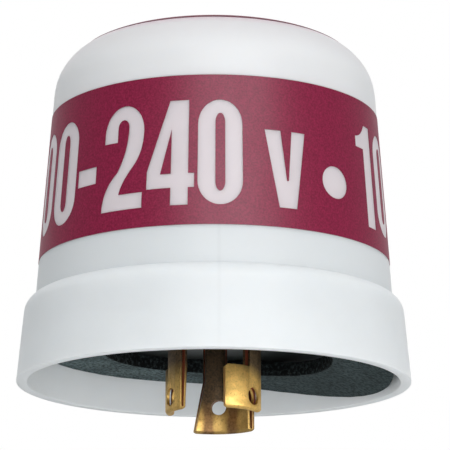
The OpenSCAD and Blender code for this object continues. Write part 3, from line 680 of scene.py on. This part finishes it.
def ink_finish(name, colour):
    """Maroon screen ink: a fine mottle and a soft gloss"""
    finish = Finish(name, colour, Specular_IOR_Level=0.08)
    made = finish.grain(0.38 * MM, 4 * MM, 0.44, 0.05)
    mottled = finish.mix(finish.spread(made["Height"], 0.34, 0.66), 0.74, 1.26)
    return finish.finished((made["Height"], 0.2, 0.03 * MM), Base_Color=mottled, Roughness=made["Roughness"])


def foam_finish(settings, middle):
    """Charcoal foam round a middle: pores, cells and a tone painted lighter on one side"""
    finish = Finish("charcoal foam", settings.colour, Roughness=0.95, Specular_IOR_Level=0.15)
    place = finish.place()
    cells = finish.node("ShaderNodeTexVoronoi", {"Vector": place, "Scale": 2600.0, "Randomness": 1.0})
    made = finish.grain(0.7 * MM, 9 * MM, 0.95, 0.02)
    # Painted light: the foam is lighter on the flat left side than on the right side that hangs down
    painted_side_light = finish.mix(finish.spread(finish.axes(place)["X"], -12 * MM, 12 * MM), 3.2, 1.25)
    patches_and_side_light = finish.mix(finish.spread(made["Patches"]), 0.9, painted_side_light)
    face = finish.mix(finish.spread(made["Height"], 0.36, 0.6), 0.4, patches_and_side_light)
    # The cut wall of the hole is almost black, partly open foam and partly painted shade, with a few pale specks
    away = finish.vector("DISTANCE", finish.vector("MULTIPLY", place, (1.0, 1.0, 0.0))[0], middle)["Value"]
    uncut = finish.spread(away, settings.hole_radius + 0.28 * MM, settings.hole_radius + 0.4 * MM)
    cut_wall_and_shade = finish.mix(finish.spread(made["Height"], 0.48, 0.7), 0.06, 0.65)
    height = finish.math("ADD", cells.outputs["Distance"], made["Height"])
    return finish.finished((height, 0.5, 0.12 * MM), Base_Color=finish.mix(uncut, cut_wall_and_shade, face))


# Figures, drawn flat with a height of one


def bend(a, b, c, steps=8):
    """Quadratic curve with three control points, without its first point"""
    shares = (i / steps for i in range(1, steps + 1))
    return [
        tuple((1 - t) ** 2 * p + 2 * t * (1 - t) * q + t ** 2 * r for p, q, r in zip(a, b, c)) for t in shares
    ]


def round_box(left, low, right, high, radius, steps):
    """Box with elliptical corners"""
    left, right, low, high = left + radius[0], right - radius[0], low + radius[1], high - radius[1]
    points = []
    for i, corner in enumerate(((right, high), (left, high), (left, low), (right, low))):
        points += arc(corner, radius, i * math.pi / 2, (i + 1) * math.pi / 2, steps)
    return points


STEM = 0.158
BAR = 0.150


def figure_zero():
    """Nought: a narrow ring"""
    w = 0.405
    outer = round_box(0.0, 0.0, w, 1.0, (w / 2, 0.23), 10)
    inner = round_box(STEM, BAR * 0.86, w - STEM, 1 - BAR * 0.86, ((w - 2 * STEM) / 2, 0.09), 8)
    return w, [outer, inner]


def figure_one():
    """One: a stem with a flag"""
    w = 0.30
    left = w - STEM * 1.05
    flag = (left + 0.045, 1.0)
    return w, [[
        (left, 0.0), (w, 0.0), (w, 1.0), flag, *bend(flag, (left - 0.02, 0.87), (0.0, 0.86)), (0.0, 0.755),
        (left, 0.755),
    ]]


def figure_two():
    """Two: a hooked top, a slanting neck and a foot"""
    w, top = 0.425, 0.74
    half, hook = w / 2, STEM * 0.95
    inner_half = (w - STEM - hook) / 2
    outer = [(0.0, 0.0), (w, 0.0), (w, BAR), (0.185, BAR)]
    outer += bend((0.185, BAR), (0.205, 0.255), (0.325, 0.405))
    outer += bend((0.325, 0.405), (w, 0.53), (w, top))
    outer += arc((half, top), (half, 1 - top), 0.0, math.pi, 16)[1:]
    outer += [(0.0, 0.655), (hook, 0.655), (hook, 0.77)]
    outer += arc((hook + inner_half, 0.79), (inner_half, 0.075), math.pi, 0.0, 12)[1:]
    outer += bend((w - STEM, 0.79), (w - STEM, 0.56), (0.16, 0.365))
    outer += bend((0.16, 0.365), (0.0, 0.22), (0.0, 0.0))[:-1]
    return w, [outer]


def figure_four():
    """Four: a slanting arm, a bar and a stem"""
    w, bar_low, bar_high = 0.44, 0.165, 0.30
    left, right = w - STEM - 0.055, w - 0.055
    outer = [
        (left, 0.0), (right, 0.0), (right, bar_low), (w, bar_low), (w, bar_high), (right, bar_high), (right, 1.0),
        (left - 0.02, 1.0), (0.0, bar_high + 0.03), (0.0, bar_low), (left, bar_low),
    ]
    inner = [(left, bar_high), (left, 0.72), (0.128, bar_high)]
    return w, [outer, inner]


def figure_dash():
    """Short dash"""
    return 0.245, [[(0.0, 0.30), (0.245, 0.30), (0.245, 0.465), (0.0, 0.465)]]


def figure_unit():
    """Small v for the unit"""
    w, top, side = 0.405, 0.735, 0.155
    return w, [[
        (0.125, 0.0), (0.295, 0.0), (w, top), (w - side + 0.015, top), (0.222, 0.26), (0.205, 0.26),
        (side, top), (0.0, top),
    ]]


def figure_dot():
    """Round dot between two runs of figures"""
    r, middle, steps = 0.155, 0.325, 28
    return 2 * r, [arc((r, middle), r, 0.0, math.tau, steps)[:-1]]


# Each figure of a run, with the angle in degrees of its slot's start and end
RUN = (
    (figure_one, 1.5, 14.0), (figure_zero, 15.7, 30.0), (figure_zero, 32.0, 46.0), (figure_dash, 47.0, 56.4),
    (figure_two, 58.4, 74.6), (figure_four, 75.6, 90.6), (figure_zero, 92.0, 106.0), (figure_unit, 113.2, 127.8),
    (figure_dot, 133.2, 145.4),
)


# Operators


class SWITCH_OT_stage(bpy.types.Operator):
    """Makes the floor, the lamps, the room and the camera"""

    bl_idname = "photocell_switch.stage"
    bl_label = "Stage"

    def execute(self, context):
        s = context.scene.photocell_switch.stage
        context.scene.view_settings.view_transform = "Standard"
        self.camera(context, s)
        self.floor(s)
        self.lamps(s)
        self.room(context, s)
        return {"FINISHED"}

    def camera(self, context, s):
        """Camera at the eye, tilted up and aimed a little off the tilted axis"""
        data = bpy.data.cameras.new("camera")
        data.lens = s.lens
        data.sensor_width = 36.0
        data.clip_start = 0.01
        ahead = Vector((0.0, math.cos(s.tilt), math.sin(s.tilt)))
        right = Vector((1.0, 0.0, 0.0))
        up = right.cross(ahead)
        aim = (ahead + right * s.aim[0] + up * s.aim[1]).normalized()
        side = aim.cross(up).normalized()
        above = side.cross(aim)
        turn = Matrix((side, above, -aim)).transposed()
        camera = add_object("camera", data)
        camera.matrix_world = (
            Matrix.Translation(Vector(s.eye)) @ turn.to_4x4() @ Matrix.Rotation(s.roll, 4, "Z")
        )
        context.scene.camera = camera

    def floor(self, s):
        """Wide pale floor"""
        bm = bmesh.new()
        bmesh.ops.create_grid(bm, x_segments=2, y_segments=2, size=6.0)
        bmesh.ops.translate(bm, verts=bm.verts, vec=(0.0, 0.0, s.floor_level))
        mesh = keep(bm, bpy.data.meshes.new("floor"))
        finish = Finish("pale floor", Roughness=0.9, Specular_IOR_Level=0.1)
        patches = finish.grain(4 * MM, 400 * MM, 0.9, 0.03)["Patches"]
        mesh.materials.append(finish.finished(Base_Color=finish.mix(patches, 0.80, 0.83)))
        add_object("floor", mesh)

    def lamps(self, s):
        """Soft lamps: each with its direction and height in degrees, its distance, its size and what sees it"""
        target = Vector((0.0, 0.0, 0.03))
        for name, turn, rise, away, size, power, in_matt, in_gloss in (
            ("main lamp", 9, 52, 0.75, (0.5, 0.5), s.key_power, True, False),
            ("gloss lamp", 11, 20, 0.75, (0.75, 0.42), s.gloss_power, False, True),
            ("side lamp", 52, -8, 0.6, (0.24, 0.14), s.side_power, False, True),
            ("top lamp", 0, 90, 0.77, (0.6, 0.6), s.top_power, True, True),
            ("low lamp", 5, -12, 0.63, (0.55, 0.14), s.low_power, True, True),
            ("front lower lamp", 0, -30, 0.26, (0.3, 0.1), s.front_power, True, False),
            ("right lower lamp", 60, -30, 0.26, (0.3, 0.1), s.right_power, True, False),
        ):
            data = bpy.data.lights.new(name, "AREA")
            data.shape = "RECTANGLE"
            data.size, data.size_y = size
            data.energy = power
            turn, rise = math.radians(turn), math.radians(rise)
            towards = Vector((math.cos(rise) * math.sin(turn), -math.cos(rise) * math.cos(turn), math.sin(rise)))
            lamp = add_object(name, data)
            lamp.location = target + towards * away
            lamp.rotation_euler = (-towards).to_track_quat("-Z", "Y").to_euler()
            lamp.visible_diffuse = in_matt
            lamp.visible_glossy = in_gloss

    def room(self, context, s):
        """White surroundings for what is seen, and a softer light from all sides"""
        world = bpy.data.worlds.new("white room")
        world.use_nodes = True
        t = Tree(world.node_tree)
        t.tree.nodes.clear()
        path = t.node("ShaderNodeLightPath").outputs
        seen = t.math("MAXIMUM", path["Is Camera Ray"], path["Is Glossy Ray"])
        seen = t.math("MAXIMUM", seen, path["Is Transmission Ray"])
        soft = t.node("ShaderNodeBackground", {"Color": ROOM_COLOUR, "Strength": s.ambient})
        white = t.node("ShaderNodeBackground", {"Color": WHITE, "Strength": 1.0})
        mix = t.node("ShaderNodeMixShader", {0: seen, 1: soft.outputs[0], 2: white.outputs[0]})
        t.node("ShaderNodeOutputWorld", {"Surface": mix.outputs[0]})
        context.scene.world = world


class SWITCH_OT_cover(bpy.types.Operator):
    """Turns the white cover from its section and adds its snap beads and its key"""

    bl_idname = "photocell_switch.cover"
    bl_label = "Cover"

    def execute(self, context):
        s = context.scene.photocell_switch.cover
        form = CoverForm(s)
        low, high = (corner[2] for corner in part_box("printed_band"))
        material = cover_finish(s, low, high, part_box("printed_top")[0][2])
        mesh = turned("cover section", form.section(), s.steps_round, material)
        bead = add_object("snap bead", self.bead(s, form))
        bm = edited(mesh)
        bm.from_mesh(ring_tree().run(bead, Count=s.bead_count, Material=material))
        self.key(bm, form)
        dress("cover_shell", keep(bm, mesh), SHARP, "cover", material)
        return {"FINISHED"}

    def bead(self, s, form):
        """One snap bead, rooted in the skirt's wall"""
        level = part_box("base")[0][2]
        foot = level - s.bead_height
        inner = form.skirt_inner(level)
        rooted, corner, steps = 0.5 * MM, 0.25 * MM, 10
        section = [
            (inner - s.bead_depth + corner, level), (inner + rooted, level),
            (form.skirt_inner(foot) + rooted, foot), (form.skirt_inner(foot), foot),
            (inner - s.bead_depth, level - corner),
        ]
        bm = bmesh.new()
        rows = []
        for i in range(steps + 1):
            a = s.bead_span * i / steps
            rows.append([bm.verts.new((r * math.cos(a), r * math.sin(a), z)) for r, z in section])
        skin(bm, rows)
        bm.faces.new(rows[0])
        bm.faces.new(list(reversed(rows[-1])))
        bmesh.ops.recalc_face_normals(bm, faces=bm.faces)
        return keep(bm, bpy.data.meshes.new("snap bead"))

    def key(self, bm, form):
        """Rib that keys the base, at the left"""
        rooted, depth, width = 0.5 * MM, 1.3 * MM, 3.0 * MM
        low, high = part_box("base")[0][2], form.ledge + rooted
        outer = form.skirt_inner(form.ledge) + rooted
        inner = form.skirt_inner(form.ledge) - depth
        for vert in bmesh.ops.create_cube(bm, size=1.0)["verts"]:
            vert.co = Vector((
                -(inner + outer) / 2 + vert.co.x * (outer - inner), vert.co.y * width,
                (low + high) / 2 + vert.co.z * (high - low),
            ))


class SWITCH_OT_print(bpy.types.Operator):
    """Wraps the maroon band with its bare figures round the cover, and lays the disc on its crown"""

    bl_idname = "photocell_switch.print"
    bl_label = "Print"

    def execute(self, context):
        s = context.scene.photocell_switch.band
        form = CoverForm(context.scene.photocell_switch.cover)
        self.band(s, form, ink_finish("maroon screen ink", s.colour))
        # The disc's ink is painted darker than the band's, as painted shade on the crown
        self.disc(s, form, ink_finish("thick maroon ink", tone(s.colour, 0.55)))
        return {"FINISHED"}

    def band(self, s, form, material):
        """Flat sheet with the figures cut out of it, wrapped round the body"""
        low, high = (corner[2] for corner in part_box("printed_band"))
        drawn = form.body_outer((low + high) / 2)
        half = math.pi * drawn
        loops = [[(-half, 0.0), (half, 0.0), (half, high - low), (-half, high - low)]]
        for phrase in range(s.phrase_count):
            start = s.first_turn + phrase * s.phrase_turn
            last = phrase == s.phrase_count - 1
            for figure, begin, end in RUN:
                if last and figure is figure_dot:
                    continue
                width, outlines = figure()
                along = (start + math.radians((begin + end) / 2)) * drawn
                middle = (along + half) % (2 * half) - half
                for outline in outlines:
                    loops.append([
                        (middle + (x - width / 2) * s.figure_height, s.figure_lift + y * s.figure_height)
                        for x, y in outline
                    ])
        mesh = plain_mesh(poly_curve("flat print", loops, flat=True))
        bm = edited(mesh)
        bmesh.ops.remove_doubles(bm, verts=bm.verts, dist=0.1 * MERGE)
        slices = 160
        for i in range(1, slices):
            u = -half + 2 * half * i / slices
            bmesh.ops.bisect_plane(
                bm, geom=bm.verts[:] + bm.edges[:] + bm.faces[:], dist=0.01 * MERGE, plane_co=(u, 0, 0),
                plane_no=(1, 0, 0),
            )
        for face in bm.faces:
            if face.normal.z < 0:
                face.normal_flip()
        round_body = wrapping_tree().run(
            add_object("flat print", keep(bm, mesh)), Drawn_radius=drawn, Foot_radius=form.body_outer(low),
            Foot_level=low, Draft=form.c.body_draft, Ink=s.ink, Material=material,
        )
        dress("maroon_band", round_body, SHARP, "printed_band", material)

    def disc(self, s, form, material):
        """Thin disc of ink over the crown"""
        steps_round, dome_steps, crown_steps = 160, 60, 24
        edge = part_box("printed_top")[1][0] + s.disc_margin
        tops = (form.top(depth, dome_steps, crown_steps) for depth in (-s.ink, 0.0))
        outer, inner = ([p for p in top if p[0] <= edge] for top in tops)
        mesh = turned("disc section", list(reversed(inner)) + outer, steps_round, material)
        dress("maroon_top", mesh, SHARP, "printed_top", material)


class SWITCH_OT_gasket(bpy.types.Operator):
    """Makes the foam gasket, which hangs down on one side"""

    bl_idname = "photocell_switch.gasket"
    bl_label = "Gasket"

    def execute(self, context):
        s = context.scene.photocell_switch.gasket
        low, high = (Vector(corner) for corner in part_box("gasket"))
        outer = (high.y - low.y) / 2
        slip = Vector(((low.x + high.x) / 2, (low.y + high.y) / 2, 0.0))
        low_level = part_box("base")[0][2] - s.thickness
        across = Vector((math.cos(s.sag_turn), math.sin(s.sag_turn), 0.0))
        steps_round, steps_in, edge, slack = 240, 14, 0.35 * MM, 0.1 * MM
        rough_scale, rough_height, cut_scale, cut_depth, lobe_power = 420.0, 0.06 * MM, 9.0, 0.22 * MM, 6

        def place(radius, turn, share):
            """A point of the gasket: its radius and direction, and its share of the thickness from below"""
            flat = slip + Vector((radius * math.cos(turn), radius * math.sin(turn), 0.0))
            past = max(0.0, flat.dot(across) - s.sag_start)
            bent = s.sag_radius + s.thickness * share
            drop = bent - math.sqrt(bent * bent - past * past)
            level = low_level + s.thickness * share - drop
            rough = noise.noise(Vector((flat.x, flat.y, share * 2 * MM)) * rough_scale) * rough_height
            return flat + Vector((0.0, 0.0, level + (rough if share < 0.5 else 0.0)))

        span = outer - s.hole_radius
        ring = [(s.hole_radius + edge * 0.4 + (span - edge * 0.8) * i / steps_in) for i in range(steps_in + 1)]
        low_edge, high_edge = edge / s.thickness, 1 - edge / s.thickness
        section = [(r, 0.0) for r in ring] + [(outer, low_edge), (outer, high_edge)]
        section += [(r, 1.0) for r in reversed(ring)] + [(s.hole_radius, high_edge), (s.hole_radius, low_edge)]
        bm = bmesh.new()
        rows = []
        for i in range(steps_round):
            turn = math.tau * i / steps_round
            cut = noise.noise(Vector((math.cos(turn), math.sin(turn), 0.3)) * cut_scale) * cut_depth
            lobe = s.lobe * max(0.0, -math.cos(turn)) ** lobe_power
            row = []
            for radius, share in section:
                free = (outer - radius) / span
                row.append(bm.verts.new(place(radius + cut * free + (lobe - slack) * (1 - free), turn, share)))
            rows.append(row)
        skin(bm, rows + rows[:1])
        bmesh.ops.recalc_face_normals(bm, faces=bm.faces)
        mesh = keep(bm, bpy.data.meshes.new("foam gasket"))
        dress("foam_gasket", mesh, FOAM_SHARP, "gasket", foam_finish(s, slip))
        return {"FINISHED"}


class SWITCH_OT_blades(bpy.types.Operator):
    """Gives the three brass blades rounded edges and their streaked, stained finish with painted light and shade"""

    bl_idname = "photocell_switch.blades"
    bl_label = "Blades"

    def execute(self, context):
        s = context.scene.photocell_switch.blades
        # Each blade with its tone of painted light and shade, its gloss, the levels between which it dulls (painted
        # shade with some tarnishing), how far they lean across it, how dull its root is and how banded its tip
        for node, shade, gloss, tarnish_and_shade, lean, dull, bands in (
            ("line_blade", 1.12, 0.47, (4.6 * MM, 7.4 * MM), 0.5, 0.95, 0.0),
            ("load_blade", 0.92, 0.42, (-1.0 * MM, 4.0 * MM), 0.0, 1.0, 0.15),
            ("neutral_blade", 0.76, 0.37, (-5.5 * MM, -1.5 * MM), 0.0, 1.0, 0.85),
        ):
            colour = tone(s.colour, shade)
            material = brass("brass of the " + node.replace("_", " "), colour, gloss, tarnish_and_shade, lean, dull, bands)
            mesh = NODES[node].data.copy()
            bm = edited(mesh)
            bmesh.ops.remove_doubles(bm, verts=bm.verts, dist=2 * MERGE)
            bmesh.ops.dissolve_limit(bm, angle_limit=math.radians(0.8), verts=bm.verts, edges=bm.edges)
            sheet = add_object("sheet of the " + node, keep(bm, mesh))
            rounding = sheet.modifiers.new("edges", "BEVEL")
            rounding.width = s.edge
            rounding.segments = 2
            rounding.limit_method = "ANGLE"
            rounding.angle_limit = math.radians(50)
            rounding.use_clamp_overlap = True
            dress("brass_" + node, plain_mesh(sheet), SHEET_SHARP, node, material)
        return {"FINISHED"}


class SWITCH_OT_works(bpy.types.Operator):
    """Gives the base and everything inside the cover its finish"""

    bl_idname = "photocell_switch.works"
    bl_label = "Base and inner works"

    def execute(self, context):
        steel = steel_finish((0.62, 0.63, 0.64), (0.4, 0.4, 0.41, 1.0))
        tan = plastic("tan resistor lacquer", (0.58, 0.42, 0.22), gloss=0.35)
        black = plastic("black diode resin", (0.018, 0.018, 0.02), gloss=0.45)
        finishes = {
            "base": plastic(
                "black base plastic", (0.011, 0.014, 0.013), bump=0.2, change=0.25, Specular_IOR_Level=0.6
            ),
            "blade_screws": steel,
            "board_screws": steel,
            "circuit_board": self.board(),
            "relay": plastic("white relay case", (0.72, 0.73, 0.72), gloss=0.38, change=0.03),
            "surge_arrester": plastic("blue arrester lacquer", (0.02, 0.09, 0.32), gloss=0.3, grain=0.8 * MM),
            "dropper_capacitor": plastic("grey film case", (0.27, 0.29, 0.32), gloss=0.45),
            "smoothing_capacitor": plastic("black can sleeve", (0.012, 0.012, 0.018), gloss=0.25),
            "dropper_resistor": tan,
            "bleed_resistor": tan,
            "rectifier_diodes": black,
            "relay_transistor": black,
            "zener_diode": plastic("red diode glass", (0.42, 0.10, 0.04), gloss=0.12),
            "sensor_holder": plastic("white holder plastic", (0.75, 0.76, 0.77), change=0.03),
            "photocell": self.cell(),
        }
        for node, material in finishes.items():
            mesh = NODES[node].data
            mesh.materials.clear()
            mesh.materials.append(material)
        return {"FINISHED"}

    def board(self):
        """Green lacquer with faint tracks under it"""
        finish = Finish("green board lacquer")
        brick = finish.node("ShaderNodeTexBrick", {"Vector": finish.place(), "Scale": 180.0, "Mortar Size": 0.06})
        tracks = brick.outputs["Fac"]
        made = finish.grain(0.6 * MM, 10 * MM, 0.33, 0.06)
        bare = finish.mix(made["Patches"], (0.012, 0.085, 0.035, 1), (0.02, 0.12, 0.05, 1))
        drawn = finish.mix(tracks, bare, (0.04, 0.2, 0.08, 1))
        return finish.finished((tracks, 0.3, 0.05 * MM), Base_Color=drawn, Roughness=made["Roughness"])

    def cell(self):
        """Light-sensitive face: fine pale and red lines"""
        finish = Finish("red cell face")
        wave = finish.node("ShaderNodeTexWave", {"Vector": finish.place(), "Scale": 400.0, "Distortion": 1.0})
        lines = finish.mix(wave.outputs["Fac"], (0.42, 0.09, 0.03, 1), (0.62, 0.42, 0.2, 1))
        made = finish.grain(0.5 * MM, 6 * MM, 0.28, 0.05)
        return finish.finished(Base_Color=lines, Roughness=made["Roughness"])


class SWITCH_PT_panel(bpy.types.Panel):
    """Lists the steps that build the photocell switch"""

    bl_idname = "SWITCH_PT_panel"
    bl_label = "Photocell Switch"
    bl_space_type = "VIEW_3D"
    bl_region_type = "UI"
    bl_category = "Photocell Switch"

    def draw(self, context):
        """Draws the values and the buttons"""
        settings = context.scene.photocell_switch
        for name, operator in (
            ("stage", SWITCH_OT_stage), ("cover", SWITCH_OT_cover), ("band", SWITCH_OT_print),
            ("gasket", SWITCH_OT_gasket), ("blades", SWITCH_OT_blades), (None, SWITCH_OT_works),
        ):
            box = self.layout.box()
            if name:
                values = getattr(settings, name)
                for key in values.__annotations__:
                    box.prop(values, key)
            box.operator(operator.bl_idname)


CLASSES = (
    CoverSettings, PrintSettings, GasketSettings, BladeSettings, StageSettings, SwitchSettings,
    SWITCH_OT_stage, SWITCH_OT_cover, SWITCH_OT_print, SWITCH_OT_gasket, SWITCH_OT_blades, SWITCH_OT_works,
    SWITCH_PT_panel,
)


def register():
    """Registers the classes and the scene's values"""
    for cls in CLASSES:
        bpy.utils.register_class(cls)
    bpy.types.Scene.photocell_switch = PointerProperty(type=SwitchSettings)


def unregister():
    """Removes the scene's values and the classes"""
    del bpy.types.Scene.photocell_switch
    for cls in reversed(CLASSES):
        bpy.utils.unregister_class(cls)


def main():
    """Builds the pieces in order"""
    register()
    bpy.ops.photocell_switch.stage()
    bpy.ops.photocell_switch.cover()
    bpy.ops.photocell_switch.print()
    bpy.ops.photocell_switch.gasket()
    bpy.ops.photocell_switch.blades()
    bpy.ops.photocell_switch.works()


if __name__ == "__main__":
    main()
